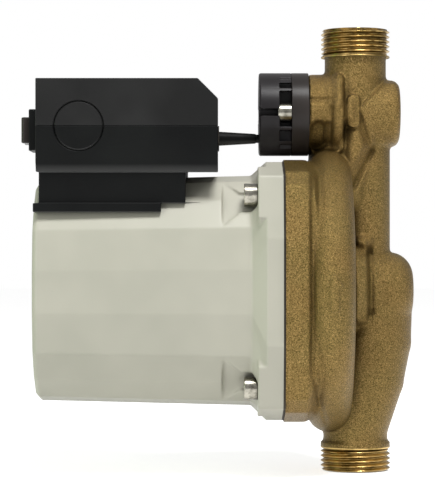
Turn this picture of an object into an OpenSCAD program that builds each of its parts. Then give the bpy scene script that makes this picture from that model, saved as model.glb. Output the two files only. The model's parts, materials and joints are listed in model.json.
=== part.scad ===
// Inline shower booster pump with a wet rotor motor, a terminal box and a flow switch.
// The origin is the centre of the inlet port's face. +Z runs along the ports to the outlet,
// and the motor lies towards -X. All sizes are in millimetres.

/* [Ports] */
// Distance between the two port faces
port_span = 167.4; // [160:0.2:190]
// Crest radius of the inlet thread
inlet_thread_r = 13.22; // [12.8:0.02:13.6]
// Crest radius of the outlet thread
outlet_thread_r = 13.04; // [12.8:0.02:13.6]
// Pitch of the port threads
thread_pitch = 1.814; // [1.6:0.05:2]
// Depth of the port threads
thread_depth = 1.16; // [0.9:0.05:1.3]
// Length of the inlet thread
inlet_thread_l = 8.5; // [7:0.1:9]
// Length of the outlet thread
outlet_thread_l = 10; // [9:0.1:12]
// Radius of the inlet's water way
inlet_bore_r = 9; // [8:0.1:9.5]
// Radius of the outlet's water way
outlet_bore_r = 8.8; // [8:0.1:9.5]

/* [Motor] */
// Height of the motor axis above the inlet face
axis_z = 68.4; // [67:0.1:72]
// Distance from the port axis to the joint between motor and housing
joint_x = 28.2; // [27:0.1:30]
// Length of the motor casing
casing_l = 91.4; // [88:0.2:100]
// Half width of the casing beside its flange
casing_half = 43.3; // [42.5:0.1:44.5]
// Half width of the casing at its closed end
casing_end_half = 41.4; // [41:0.1:43]
// Radius of the bore that holds the stator
stator_r = 38.2; // [36:0.1:38.5]
// Half width of the casing's flange
casing_flange_half = 48.1; // [47:0.1:50]
// Thickness of the casing's flange
casing_flange_t = 5.9; // [5:0.1:6.5]
// Radius of the circle that the flange screws lie on
screw_circle_r = 49.9; // [49:0.1:50.5]

/* [Housing] */
// Half width of the bronze flange
housing_flange_half = 49; // [48:0.1:51]
// Thickness of the bronze flange
housing_flange_t = 8.3; // [7.5:0.1:9]
// Radius of the volute's centre line
volute_r = 45.8; // [45:0.1:47]
// Radius of the volute's round ridge
volute_tube_r = 8; // [7.5:0.1:8.5]
// Height of the cross tube above the inlet face
cross_z = 135.6; // [134:0.1:139]
// Outer radius of the cross tube
cross_r = 12.7; // [12.3:0.1:14]
// Outer radius of the riser behind the volute
riser_r = 9; // [8.6:0.1:9.5]

/* [Hydraulics] */
// Radius of the impeller
impeller_r = 32; // [28:0.5:33]
// Radius of the shaft
shaft_r = 4; // [3.5:0.1:4.5]
// Radius of the rotor core
rotor_r = 16.8; // [15:0.1:17]
// Lift of the bypass poppet
poppet_lift = 4; // [2:0.1:4.5]
// Lift of the flow shuttle
shuttle_lift = 6; // [3:0.1:6.5]

/* [Terminal box] */
// Length of the terminal box along the motor
box_l = 66.5; // [64:0.5:72]
// Width of the terminal box
box_w = 78; // [74:0.5:84]
// Height of the terminal box
box_h = 31.7; // [30:0.1:38]
// Height of the base, from the floor to the split line
base_h = 14.35; // [13:0.05:16]
// Wall of the terminal box
box_wall = 2.2; // [1.8:0.1:2.6]

/* [Flow switch] */
// Outer radius of the flow switch
switch_r = 15.75; // [15.2:0.05:16.5]
// Length of the flow switch base
switch_base_l = 6.6; // [6:0.1:8]
// Length of the flow switch cover
switch_cover_l = 12.2; // [11:0.1:14]

/* [Hidden] */
$fn = 64;

// Overrun of every cut, and the clearances that mates share
cut = 1;
seat_gap = 0.03;
running_gap = 0.04;
free_gap = 0.3;
screw_gap = 0.25;
tip_gap = 1;

// What a tube's ball end stands proud of the tube
ball_extra = 0.15;

// Section shapes, as shares of the half width, in the first quadrant
casing_section_share = [[1, 0.186], [0.942, 0.544], [0.779, 0.779], [0.544, 0.942], [0.186, 1]];
casing_flange_share = [[1, 0.403], [0.94, 0.641], [0.879, 0.879], [0.641, 0.94], [0.403, 1]];
housing_flange_share = [[1, 0.347], [0.898, 0.792], [0.792, 0.898], [0.347, 1]];

// Places along the motor axis
gasket_t = 0.8;
housing_face_x = -joint_x + gasket_t / 2;
casing_face_x = -joint_x - gasket_t / 2;
casing_end_x = casing_face_x - casing_l;
casing_wall = 3;
casing_chamfer = 1.3;
flare_l = 5.5;
flange_back_x = casing_face_x - casing_flange_t;
flare_x = flange_back_x - flare_l;

// Flange screws, metric 5
screw_r = 2.5;
screw_head_r = 4.25;
screw_head_l = 5;
screw_key_r = 2.3;
screw_key_l = 2.6;
screw_l = 16;
corner_extra = 3.3;
screw_seat_x = flange_back_x - corner_extra;
pocket_r = 5;
pocket_l = 6.4;
scoop_l = 13;
scoop_w = 24;
scoop_floor = 45.2;
corner_w = 27;
corner_in = 40;
screw_offset = screw_circle_r * sin(45);

// Housing outside
crest_share = 0.18;
port_chamfer = 0.9;
collar_l = 2.4;
inlet_neck_r = 12.2;
outlet_neck_r = 11.65;
volute_shoulder_l = 9;
volute_x = housing_face_x + housing_flange_t + volute_shoulder_l;
back_dip = 0.4;
volute_back_x = volute_x + volute_tube_r - back_dip;
back_disc_r = 40;
suction_x = 8.2;
suction_r = 13.6;
suction_mid_x = 7.6;
suction_mid_z = 49.1;
suction_low_x = 5.6;
suction_low_r = 12.9;
suction_nose_r = 14.5;
suction_root_r = 23;
suction_end_x = 21.8;
suction_round = 9;
suction_low_z = 35.1;
neck_z = 16.1;
riser_x = 4.2;
cross_end_x = 16.5;
cross_round = 3;
switch_boss_r = 14.9;
switch_boss_x = -18;
rib_x = -7.3;
rib_round = 2.5;
rib_r = 15.5;
pad_x = -1.5;
pad_w = 4.8;
pad_h = 12.6;
pad_t = 2.4;
pad_up = 0.2;
duct_x = -9.5;
duct_r = 8.4;
branch_r = 8.4;
branch_top_x = 2;
branch_low_x = -4;
branch_drop = 30;
branch_y = -4;
arrow_h = 13.8;
arrow_w = 5.5;
arrow_shaft_w = 2.9;
arrow_head_h = 4.6;
arrow_t = 0.7;

// Housing inside
recess_r = 40.1;
plate_t = 2.4;
chamber_r = 35;
chamber_back_x = -7;
channel_r = 5.3;
channel_shift = 1;
channel_in = 1.4;
channel_x = volute_x - channel_shift;
channel_ring_r = volute_r - channel_in;
eye_bore_r = 10;
suction_bore_r = 9.6;
riser_bore_r = 6.6;
riser_bore_low_z = axis_z + eye_bore_r;
cross_bore_r = 9.3;
cross_bore_end_x = 13.4;
shuttle_bore_r = 5;
shuttle_port_r = 3.6;
shuttle_seat_drop = 20.5;
shuttle_seat_z = cross_z - shuttle_seat_drop;

// Wear ring
wear_ring_r = 14;
wear_ring_l = 4;

// Gasket between casing and housing
gasket_in = 1;

// Impeller and rotor
impeller_back_x = -18.5;
shroud_t = 1.7;
vane_h = 5.4;
vane_t = 1.6;
vane_curve_r = 19;
vane_count = 6;
hub_r = 7;
eye_r = 9.4;
eye_neck_r = 11.4;
eye_neck_l = 4.8;
nut_flat_r = 5;
nut_l = 4;
shaft_end_x = -6.5;
thrust_r = 9;
thrust_t = 1.5;
core_l = 44;

// Rotor can and bearings
can_r = 17.5;
can_t = 0.5;
can_flange_t = 2;
can_l = 67.4;
bearing_r = 8;
bearing_l = 10;
holder_wall = 1.6;
front_bearing_x = -37;
hub_wall = 1.5;
vent_bore_r = 5.95;
vent_neck_r = 8;
vent_head_r = 9.4;
vent_head_t = 2.3;
vent_slot_w = 1.6;
vent_seal_t = 0.8;
water_hole_r = 2;
water_hole_count = 4;
water_hole_share = 0.75;

// Stator
stator_l = 40;
stator_in_r = 18.7;
slot_count = 6;
slot_in_r = 21;
slot_out_r = 33;
slot_w = 9;
stator_back_gap = 4;
winding_l = 11;
winding_gap = 0.3;
lead_wire_r = 1;
lead_wire_pitch = 5;

// Bypass valve
seat_l = 3;
seat_bore_r = 4.4;
bypass_seat_drop = 27.5;
bypass_seat_z = cross_z - bypass_seat_drop;
poppet_r = 5.5;
poppet_t = 2;
poppet_stem_r = 1.5;
wing_r = 4.1;
wing_t = 1.2;
wing_l = 5;
guide_t = 3;
guide_wall = 1.4;
guide_bar_w = 3.6;
guide_bar_l = 2 * riser_bore_r - guide_wall;
guide_hub_r = 2.9;

// Flow shuttle
shuttle_r = shuttle_bore_r - running_gap;
shuttle_l = 10;
shuttle_stem_r = 1.2;
stem_drop = 0.5;
magnet_r = 3;
magnet_l = 5;
magnet_up = 1;

// Terminal box
box_x1 = -52.3;
box_x0 = box_x1 - box_l;
box_lift = 2.9;
box_z0 = axis_z + casing_half + box_lift;
split_z = box_z0 + base_h;
box_z1 = box_z0 + box_h;
bevel = 1.4;
skirt_h = 2.4;
skirt_t = 2.2;
skirt_slant = 2.2;
lid_corner_cut = 7.4;
neck_in = 1;
neck_step = 11.9;
neck_x0 = box_x0 + neck_in;
neck_x1 = box_x1 - neck_step;
neck_side = 3;
neck_w = box_w - 2 * neck_side;
neck_wall = 2.2;
foot_out = 1;
foot_step = 20.8;
foot_x0 = box_x0 - foot_out;
foot_x1 = box_x1 - foot_step;
foot_lip = 2.2;
foot_w = neck_w + 2 * foot_lip;
foot_t = 3.3;
saddle_h = 17.1;
foot_z = box_z0 - saddle_h;
saddle_gap = 0.1;
knockout_r = 9.3;
knockout_depth = 0.5;
knockout_w = 0.6;
knockout_in = 15.7;
knockout_x = box_x0 + knockout_in;
pillar_r = 3.6;
pillar_in = 6.6;
lid_gasket_w = 0.8;
lid_gasket_t = 0.8;
lid_gasket_in = 0.7;
lid_screw_r = 1.5;
lid_head_r = 2.7;
lid_head_t = 2;
lid_well_depth = 2.6;
lid_screw_l = 24;
base_screw_r = 2;
base_head_r = 3.6;
base_head_t = 2.4;
base_screw_l = box_z0 + box_wall - axis_z - stator_r - 2 * free_gap;
base_screw_boss_r = 5;
base_screw_in = 12;
driver_slot_w = 1.2;
lid_cross_w = 0.6;
wire_hole_r = 1.3;

// Terminal block and capacitor
block_l = 14;
block_w = 30;
block_h = 12;
block_in = 1.5;
block_x = box_x1 - box_wall - block_in - block_l;
pole_count = 4;
pole_pitch = 7;
entry_r = 1.7;
terminal_screw_r = 1.9;
terminal_screw_l = 5;
capacitor_r = 11;
capacitor_l = 36;
capacitor_side = 3.5;
capacitor_end = 1.6;
capacitor_y = capacitor_side + box_wall + capacitor_r - box_w / 2;
capacitor_pin_r = 1;
capacitor_pin_l = 6;
capacitor_gap = 0.05;

// Rocker switch
frame_h = 15.6;
frame_w = 21;
frame_t = 4.8;
frame_body_h = 13.4;
frame_body_w = 19;
frame_body_l = 12;
frame_well = 6.5;
rocker_h = 9.8;
rocker_w = 17;
rocker_out = 3.1;
rocker_depth = 3.4;
rocker_crown = 0.9;
rocker_gap = 0.35;
trunnion_r = 1.2;
trunnion_l = 1.1;
pivot_out = 2.2;
rocker_pivot_x = box_x0 - pivot_out;

// Cable gland, at the back of the box
gland_shift = 12;
gland_x = knockout_x + gland_shift;
gland_thread_r = 9.3;
gland_hex_r = 12.2;
gland_hex_t = 4;
gland_body_l = 9;
gland_dome_r = 11;
gland_dome_l = 12;
gland_dome_cone = 5;
gland_cable_r = 4;
gland_seal_r = 6.6;
gland_seal_l = 10;
gland_mouth_r = 5.2;
gland_rim = 1;

// Flow switch
switch_drop = 0.3;
switch_axis_z = cross_z - switch_drop;
switch_screw_y = 12;
switch_screw_r = 2;
switch_head_r = 3.65;
switch_head_l = 5.2;
switch_screw_l = 12;
cross_recess_l = 2;
cross_recess_w = 4.4;
window_l = 4.6;
window_in = 8.2;
fin_t = 1.2;
fin_share = [-0.71, -0.38, 0.55, 0.76];
cap_wall = 1.6;
cap_round = 0.8;
reed_r = 1.4;
reed_l = 14;
reed_pocket_w = 8;
reed_pocket_h = 18;
reed_pocket_l = 4.6;
lead_box_r = 2.85;
lead_switch_r = 1.85;
lead_neck_r = 1.6;
lead_neck_l = 1.2;
lead_drop = 9.2;
lead_z = switch_axis_z - lead_drop;
lead_run_in = 1.4;
grommet_r = 4.2;
grommet_lip_r = 4.9;
grommet_lip_t = 0.4;

switch_base_x = switch_boss_x - switch_base_l;
switch_cover_x = switch_base_x - switch_cover_l;

// Closed outline through all four quadrants, from the points of the first
function ring_of(share, h) = let (p = [for (s = share) s * h], n = len(p) - 1) concat(
    p, [for (i = [n:-1:0]) [-p[i].x, p[i].y]], [for (q = p) -q], [for (i = [n:-1:0]) [p[i].x, -p[i].y]]);

// Solid of revolution about X, from a profile of [radius, x]
module about_x() rotate([0, 90, 0]) rotate_extrude() children();

module along_x(x0, x1, r) translate([x0, 0, 0]) rotate([0, 90, 0]) cylinder(h = x1 - x0, r = r);

module cone_x(x0, x1, r0, r1)
    translate([x0, 0, 0]) rotate([0, 90, 0]) cylinder(h = x1 - x0, r1 = r0, r2 = r1);

module tube_x(x0, x1, r_out, r_in) difference() {
    along_x(x0, x1, r_out);
    along_x(x0 - cut, x1 + cut, r_in);
}

module along_y(y0, y1, r) translate([0, y0, 0]) rotate([-90, 0, 0]) cylinder(h = y1 - y0, r = r);

// Outline in Y and Z, drawn out along X
module plate_x(x0, x1) translate([x0, 0, 0]) rotate([90, 0, 90]) linear_extrude(height = x1 - x0) children();

// Outline in X and Z, drawn out along Y
module plate_y(y0, y1) translate([0, y1, 0]) rotate([90, 0, 0]) linear_extrude(height = y1 - y0) children();

module block_x(x0, x1, w, z0, z1) translate([x0, -w / 2, z0]) cube([x1 - x0, w, z1 - z0]);

module at_motor() translate([0, 0, axis_z]) children();

module at_flange_screws() at_motor() for (y = [-1, 1], z = [-1, 1])
    translate([0, y * screw_offset, z * screw_offset]) children();

// Round tube with ball ends, between two points of one XZ plane
module limb(a, b, ra, rb) {
    translate([a.x, 0, a.y]) rotate([0, atan2(b.x - a.x, b.y - a.y), 0]) cylinder(h = norm(b - a), r1 = ra, r2 = rb);
    for (e = [[a, ra], [b, rb]]) translate([e[0].x, 0, e[0].y]) sphere(r = e[1] + ball_extra);
}

// Cylinder along X whose far rim is rounded
module round_end_x(x0, x1, r, round) about_x() intersection() {
    translate([0, x0]) square([r, x1 - x0]);
    union() {
        translate([0, x0]) square([r, x1 - x0 - round]);
        translate([0, x0]) square([r - round, x1 - x0]);
        translate([r - round, x1 - round]) circle(r = round);
    }
}

// Closed solid through outlines of equally many points, from a list of [x, outline]
module loft_x(stations) {
    n = len(stations[0][1]);
    last = (len(stations) - 1) * n;
    polyhedron(
        points = [for (s = stations, p = s[1]) [s[0], p.x, p.y]],
        faces = concat([[for (i = [0:n - 1]) i]], [[for (i = [n - 1:-1:0]) last + i]],
            [for (k = [0:len(stations) - 2], i = [0:n - 1]) [k * n + i, (k + 1) * n + i, (k + 1) * n + (i + 1) % n]],
            [for (k = [0:len(stations) - 2], i = [0:n - 1]) [k * n + i, (k + 1) * n + (i + 1) % n, k * n + (i + 1) % n]]),
        convexity = 2);
}

// Motor casing's outer form, grown by a clearance
module casing_form(grow = 0) loft_x([
    [casing_end_x - grow, ring_of(casing_section_share, casing_end_half - casing_chamfer + grow)],
    [casing_end_x + casing_chamfer, ring_of(casing_section_share, casing_end_half + grow)],
    [flare_x, ring_of(casing_section_share, casing_half + grow)],
    [flange_back_x, ring_of(casing_flange_share, casing_flange_half + grow)],
    [casing_face_x, ring_of(casing_flange_share, casing_flange_half + grow)]]);

// One port thread as parallel rings, standing on z = 0 with its mouth at the top
module port_thread(length, crest_r) {
    root_r = crest_r - thread_depth;
    turns = floor((length - port_chamfer) / thread_pitch);
    start = length - port_chamfer - turns * thread_pitch;
    flat = crest_share * thread_pitch;
    flank = thread_pitch / 2 - flat;
    steps = [[0, root_r], [flank, crest_r], [flank + flat, crest_r], [2 * flank + flat, root_r]];
    rotate_extrude() polygon(concat([[0, 0], [root_r, 0]],
        [for (i = [0:turns - 1], k = steps) [k[1], start + i * thread_pitch + flat / 2 + k[0]]],
        [[root_r, length - port_chamfer / 2], [root_r - port_chamfer / 2, length], [0, length]]));
}

module suction_body() {
    at_motor() {
        cone_x(volute_x, suction_x, suction_root_r, suction_nose_r - ball_extra);
        round_end_x(volute_x, suction_end_x, suction_nose_r, suction_round);
    }
    limb([suction_mid_x, suction_mid_z], [suction_x, axis_z], suction_r, suction_r);
    limb([suction_low_x, suction_low_z], [suction_mid_x, suction_mid_z], suction_low_r, suction_r);
    limb([0, neck_z], [suction_low_x, suction_low_z], inlet_neck_r, suction_low_r);
    translate([0, 0, inlet_thread_l]) cylinder(h = neck_z - inlet_thread_l, r = inlet_neck_r);
    translate([0, 0, inlet_thread_l]) cylinder(h = collar_l, r = inlet_thread_r);
}

module flow_arrow() {
    front = volute_r + volute_tube_r;
    at_motor() plate_y(-front - arrow_t, -front + volute_tube_r / 2) translate([volute_x, 0]) polygon([
        [-arrow_shaft_w / 2, -arrow_h / 2], [arrow_shaft_w / 2, -arrow_h / 2],
        [arrow_shaft_w / 2, arrow_h / 2 - arrow_head_h], [arrow_w / 2, arrow_h / 2 - arrow_head_h],
        [0, arrow_h / 2], [-arrow_w / 2, arrow_h / 2 - arrow_head_h],
        [-arrow_shaft_w / 2, arrow_h / 2 - arrow_head_h]]);
}

module outlet_body() {
    translate([0, 0, cross_z]) {
        round_end_x(rib_x, cross_end_x, cross_r, cross_round);
        along_x(switch_boss_x, rib_x, switch_boss_r);
        along_x(rib_x - rib_round, rib_x + rib_round, rib_r - rib_round);
        about_x() translate([rib_r - rib_round, rib_x]) circle(r = rib_round);
        cylinder(h = port_span - outlet_thread_l - cross_z, r = outlet_neck_r);
    }
    translate([riser_x, 0, axis_z]) cylinder(h = cross_z - axis_z, r = riser_r);
    translate([duct_x, 0, axis_z + volute_r - volute_tube_r])
        cylinder(h = cross_z - axis_z - volute_r + volute_tube_r, r = duct_r);
    translate([0, branch_y, 0])
        limb([branch_low_x, cross_z - branch_drop], [branch_top_x, cross_z], branch_r, branch_r);
    translate([pad_x, 0, cross_z + pad_up]) plate_y(-cross_r - pad_t, 0) {
        square([pad_w, pad_h - pad_w], center = true);
        for (s = [-1, 1]) translate([0, s * (pad_h - pad_w) / 2]) circle(d = pad_w);
    }
}

module housing_outside() {
    at_motor() {
        plate_x(housing_face_x, housing_face_x + housing_flange_t)
            polygon(ring_of(housing_flange_share, housing_flange_half));
        along_x(housing_face_x + housing_flange_t - volute_tube_r / 2, volute_x, volute_r);
        about_x() translate([volute_r, volute_x]) circle(r = volute_tube_r);
        cone_x(volute_x, volute_back_x, volute_r, back_disc_r);
    }
    flow_arrow();
    suction_body();
    outlet_body();
    translate([0, 0, inlet_thread_l]) mirror([0, 0, 1]) port_thread(inlet_thread_l, inlet_thread_r);
    translate([0, 0, port_span - outlet_thread_l]) port_thread(outlet_thread_l, outlet_thread_r);
}

module housing_inside() {
    at_motor() {
        along_x(housing_face_x - cut, housing_face_x + plate_t, recess_r);
        along_x(housing_face_x, chamber_back_x, chamber_r);
        about_x() translate([channel_ring_r, channel_x]) circle(r = channel_r);
        along_x(channel_x - channel_r, channel_x + channel_r / 2, channel_ring_r);
        along_x(chamber_back_x - cut, chamber_back_x + wear_ring_l, wear_ring_r + seat_gap);
        along_x(chamber_back_x, suction_x, eye_bore_r);
    }
    limb([suction_mid_x, suction_mid_z], [suction_x, axis_z], suction_bore_r, suction_bore_r);
    limb([suction_low_x, suction_low_z], [suction_mid_x, suction_mid_z], suction_bore_r, suction_bore_r);
    limb([0, neck_z], [suction_low_x, suction_low_z], inlet_bore_r, suction_bore_r);
    translate([0, 0, -cut]) cylinder(h = neck_z + cut, r = inlet_bore_r);
    translate([riser_x, 0, riser_bore_low_z]) cylinder(h = cross_z - riser_bore_low_z, r = riser_bore_r);
    translate([0, 0, cross_z]) {
        along_x(duct_x - shuttle_bore_r, cross_bore_end_x, cross_bore_r);
        cylinder(h = port_span - cross_z + cut, r = outlet_bore_r);
    }
    translate([duct_x, 0, shuttle_seat_z]) cylinder(h = cross_z - shuttle_seat_z, r = shuttle_bore_r);
    translate([duct_x, 0, axis_z + channel_ring_r])
        cylinder(h = cross_z - axis_z - channel_ring_r, r = shuttle_port_r);
    at_flange_screws() along_x(housing_face_x - cut, screw_seat_x + screw_l + tip_gap, screw_r + seat_gap);
    translate([0, 0, switch_axis_z]) for (s = [-1, 1]) translate([0, s * switch_screw_y, 0])
        along_x(switch_boss_x - cut, switch_base_x + switch_screw_l, switch_screw_r + seat_gap);
}

module pump_housing() color("darkgoldenrod") difference() {
    housing_outside();
    housing_inside();
}

module wear_ring() color("silver") at_motor()
    tube_x(chamber_back_x, chamber_back_x + wear_ring_l, wear_ring_r, eye_neck_r + free_gap);

module housing_gasket() color("dimgray") difference() {
    at_motor() plate_x(casing_face_x, housing_face_x) difference() {
        polygon(ring_of(casing_flange_share, casing_flange_half - seat_gap));
        circle(r = chamber_r + gasket_in);
    }
    at_flange_screws() along_x(casing_face_x - cut, housing_face_x + cut, screw_r + screw_gap);
}

module bearing_plate() color("lightgray") at_motor() difference() {
    union() {
        along_x(housing_face_x, housing_face_x + plate_t, recess_r - seat_gap);
        along_x(front_bearing_x, housing_face_x + plate_t, bearing_r + holder_wall);
    }
    along_x(front_bearing_x - cut, front_bearing_x + bearing_l, bearing_r + seat_gap);
    along_x(front_bearing_x, housing_face_x + plate_t + cut, shaft_r + free_gap);
    for (i = [0:water_hole_count - 1]) rotate([i * 360 / water_hole_count, 0, 0])
        translate([0, 0, water_hole_share * can_r])
            along_x(housing_face_x - cut, housing_face_x + plate_t + cut, water_hole_r);
}

module bearing(x0) color("saddlebrown") at_motor() tube_x(x0, x0 + bearing_l, bearing_r, shaft_r + running_gap);

module front_bearing() bearing(front_bearing_x);

can_back_x = casing_face_x - can_l;
can_hub_x = can_back_x - bearing_l - hub_wall;
vent_neck_x = casing_end_x + vent_head_t + vent_seal_t + seat_gap;

module rear_bearing() bearing(can_back_x - bearing_l);

module rotor_can() color("lightgray") at_motor() difference() {
    union() {
        along_x(casing_face_x - can_flange_t, casing_face_x, recess_r - seat_gap);
        along_x(can_back_x - can_t, casing_face_x, can_r + can_t);
        along_x(can_hub_x, can_back_x, bearing_r + hub_wall);
        along_x(vent_neck_x, can_hub_x + hub_wall, vent_neck_r);
    }
    along_x(can_back_x, casing_face_x + cut, can_r);
    along_x(can_hub_x + hub_wall, can_back_x + cut, bearing_r + seat_gap);
    along_x(vent_neck_x - cut, can_hub_x + hub_wall + cut, vent_bore_r + seat_gap);
}

stator_x = can_back_x + stator_back_gap;

module slots(shrink = 0) for (i = [0:slot_count - 1]) rotate(i * 360 / slot_count) intersection() {
    difference() {
        circle(r = slot_out_r - shrink);
        circle(r = slot_in_r + shrink);
    }
    translate([0, -slot_w / 2 + shrink]) square([slot_out_r, slot_w - 2 * shrink]);
}

module stator_core() color("slategray") at_motor() plate_x(stator_x, stator_x + stator_l) difference() {
    circle(r = stator_r - seat_gap);
    circle(r = stator_in_r);
    slots();
}

module stator_windings() color("peru") at_motor() {
    plate_x(stator_x - winding_gap, stator_x + stator_l + winding_gap) slots(winding_gap);
    tube_x(stator_x - winding_gap - winding_l, stator_x - winding_gap, slot_out_r, slot_in_r);
    tube_x(stator_x + stator_l + winding_gap, stator_x + stator_l + winding_gap + winding_l, slot_out_r, slot_in_r);
}

// The four corners between the motor's sides, each with +Z pointing out through it
module at_corners() at_motor() for (a = [45:90:315]) rotate([a, 0, 0]) children();

module thick_corners() intersection() {
    at_motor() plate_x(screw_seat_x, flange_back_x + seat_gap)
        polygon(ring_of(casing_flange_share, casing_flange_half));
    at_corners() translate([screw_seat_x - cut, -corner_w / 2, corner_in])
        cube([corner_extra + 2 * cut, corner_w, casing_flange_half]);
}

module screw_scoops() at_corners() translate([0, 0, scoop_floor]) linear_extrude(height = casing_flange_half)
    polygon([[screw_seat_x, -pocket_r], [screw_seat_x, pocket_r], [screw_seat_x - pocket_l, pocket_r],
        [screw_seat_x - scoop_l, scoop_w / 2], [screw_seat_x - scoop_l, -scoop_w / 2],
        [screw_seat_x - pocket_l, -pocket_r]]);

module motor_casing() color("lightgray") difference() {
    union() {
        at_motor() casing_form();
        thick_corners();
    }
    screw_scoops();
    at_flange_screws() {
        along_x(screw_seat_x - pocket_l, screw_seat_x, pocket_r);
        along_x(screw_seat_x - cut, casing_face_x + cut, screw_r + screw_gap);
    }
    at_motor() {
        along_x(casing_end_x + casing_wall, casing_face_x + cut, stator_r);
        along_x(casing_face_x - can_flange_t, casing_face_x + cut, recess_r);
        along_x(casing_end_x - cut, casing_end_x + casing_wall + cut, vent_head_r + screw_gap);
    }
    for (x = base_screw_places()) translate([x, 0, box_z0 + box_wall - base_screw_l])
        cylinder(h = base_screw_l + cut, r = base_screw_r + seat_gap);
    for (y = lead_wire_places()) translate([lead_wire_x, y, axis_z + slot_out_r])
        cylinder(h = box_z0 - axis_z, r = wire_hole_r);
}

module casing_screws() color("gray") at_flange_screws() difference() {
    union() {
        along_x(screw_seat_x - screw_head_l, screw_seat_x, screw_head_r);
        along_x(screw_seat_x - seat_gap, screw_seat_x + screw_l, screw_r);
    }
    translate([screw_seat_x - screw_head_l - cut, 0, 0]) rotate([0, 90, 0])
        cylinder(h = screw_key_l + cut, r = screw_key_r, $fn = 6);
}

module vent_screw() color("silver") at_motor() difference() {
    union() {
        along_x(vent_neck_x, can_hub_x + hub_wall, vent_bore_r);
        along_x(casing_end_x + seat_gap, vent_neck_x, vent_bore_r);
        along_x(casing_end_x + seat_gap, casing_end_x + seat_gap + vent_head_t, vent_head_r);
    }
    translate([casing_end_x - cut, -vent_head_r - cut, -vent_slot_w / 2])
        cube([vent_head_t / 2 + cut, 2 * (vent_head_r + cut), vent_slot_w]);
}

module vent_seal() color("black") at_motor()
    tube_x(vent_neck_x - vent_seal_t, vent_neck_x, vent_neck_r, vent_bore_r + seat_gap);

lead_wire_x = stator_x - winding_gap - winding_l / 2;
lead_wire_z = box_z0 + box_wall + block_h / 2;
function lead_wire_places() = [for (i = [0:2]) i * lead_wire_pitch];

module motor_leads() color("firebrick") for (y = lead_wire_places()) translate([0, y, 0]) {
    translate([lead_wire_x, 0, axis_z + slot_out_r])
        cylinder(h = lead_wire_z - axis_z - slot_out_r, r = lead_wire_r);
    translate([lead_wire_x, 0, lead_wire_z]) sphere(r = lead_wire_r);
    translate([0, 0, lead_wire_z]) along_x(lead_wire_x, block_x, lead_wire_r);
}

core_x = stator_x + (stator_l - core_l) / 2;

module rotor_shaft() color("silver") at_motor() {
    along_x(can_back_x - bearing_l, shaft_end_x, shaft_r);
}

module rotor_core() color("darkgray") at_motor() tube_x(core_x, core_x + core_l, rotor_r, shaft_r);

module thrust_washer() color("dimgray") at_motor()
    tube_x(front_bearing_x - free_gap - thrust_t, front_bearing_x - free_gap, thrust_r, shaft_r);

vane_x = impeller_back_x + shroud_t;
front_shroud_x = vane_x + vane_h;

module vanes() for (i = [0:vane_count - 1]) rotate(i * 360 / vane_count) intersection() {
    difference() {
        circle(r = impeller_r - free_gap);
        circle(r = eye_r + free_gap);
    }
    translate([0, vane_curve_r]) difference() {
        circle(r = vane_curve_r);
        circle(r = vane_curve_r - vane_t);
    }
    square([impeller_r, impeller_r]);
}

module impeller() color("tan") at_motor() {
    tube_x(impeller_back_x, vane_x, impeller_r, shaft_r);
    tube_x(vane_x, front_shroud_x + shroud_t, hub_r, shaft_r);
    plate_x(vane_x, front_shroud_x) vanes();
    tube_x(front_shroud_x, front_shroud_x + shroud_t, impeller_r, eye_r);
    tube_x(front_shroud_x + shroud_t, front_shroud_x + shroud_t + eye_neck_l, eye_neck_r, eye_r);
}

nut_x = front_shroud_x + shroud_t;

module impeller_nut() color("gold") at_motor() difference() {
    translate([nut_x, 0, 0]) rotate([0, 90, 0]) cylinder(h = nut_l, r = nut_flat_r, $fn = 6);
    along_x(nut_x - cut, shaft_end_x, shaft_r);
}

module bypass_seat() color("silver") translate([riser_x, 0, bypass_seat_z]) difference() {
    cylinder(h = seat_l, r = riser_bore_r - seat_gap);
    translate([0, 0, -cut]) cylinder(h = seat_l + 2 * cut, r = seat_bore_r);
}

poppet_z = bypass_seat_z + seat_l + seat_gap;
guide_z = poppet_z + poppet_t + poppet_lift + seat_gap;

module bypass_guide() color("silver") translate([riser_x, 0, guide_z]) difference() {
    union() {
        difference() {
            cylinder(h = guide_t, r = riser_bore_r - seat_gap);
            translate([0, 0, -cut]) cylinder(h = guide_t + 2 * cut, r = riser_bore_r - guide_wall);
        }
        translate([-guide_bar_w / 2, -guide_bar_l / 2, 0]) cube([guide_bar_w, guide_bar_l, guide_t]);
        cylinder(h = guide_t, r = guide_hub_r);
    }
    translate([0, 0, -cut]) cylinder(h = guide_t + 2 * cut, r = poppet_stem_r + running_gap);
}

module bypass_poppet() color("black") translate([riser_x, 0, poppet_z]) {
    cylinder(h = poppet_t, r = poppet_r);
    cylinder(h = poppet_t + poppet_lift + guide_t, r = poppet_stem_r);
    intersection() {
        translate([0, 0, -wing_l]) cylinder(h = wing_l + seat_gap, r = wing_r);
        for (i = [0:2]) rotate(i * 120) translate([0, -wing_t / 2, -wing_l]) cube([wing_r, wing_t, wing_l + seat_gap]);
    }
}

shuttle_z = shuttle_seat_z + seat_gap;
shuttle_top_z = cross_z + sqrt(pow(cross_bore_r, 2) - pow(shuttle_stem_r, 2)) - shuttle_lift - stem_drop;

module flow_shuttle() color("ivory") translate([duct_x, 0, shuttle_z]) difference() {
    union() {
        cylinder(h = shuttle_l, r = shuttle_r);
        cylinder(h = shuttle_top_z - shuttle_z, r = shuttle_stem_r);
    }
    translate([0, 0, magnet_up]) difference() {
        cylinder(h = magnet_l, r = magnet_r + seat_gap);
        translate([0, 0, -cut]) cylinder(h = magnet_l + 2 * cut, r = shuttle_stem_r);
    }
}

module shuttle_magnet() color("dimgray") translate([duct_x, 0, shuttle_z + magnet_up]) difference() {
    cylinder(h = magnet_l, r = magnet_r);
    translate([0, 0, -cut]) cylinder(h = magnet_l + 2 * cut, r = shuttle_stem_r + seat_gap);
}

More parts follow.
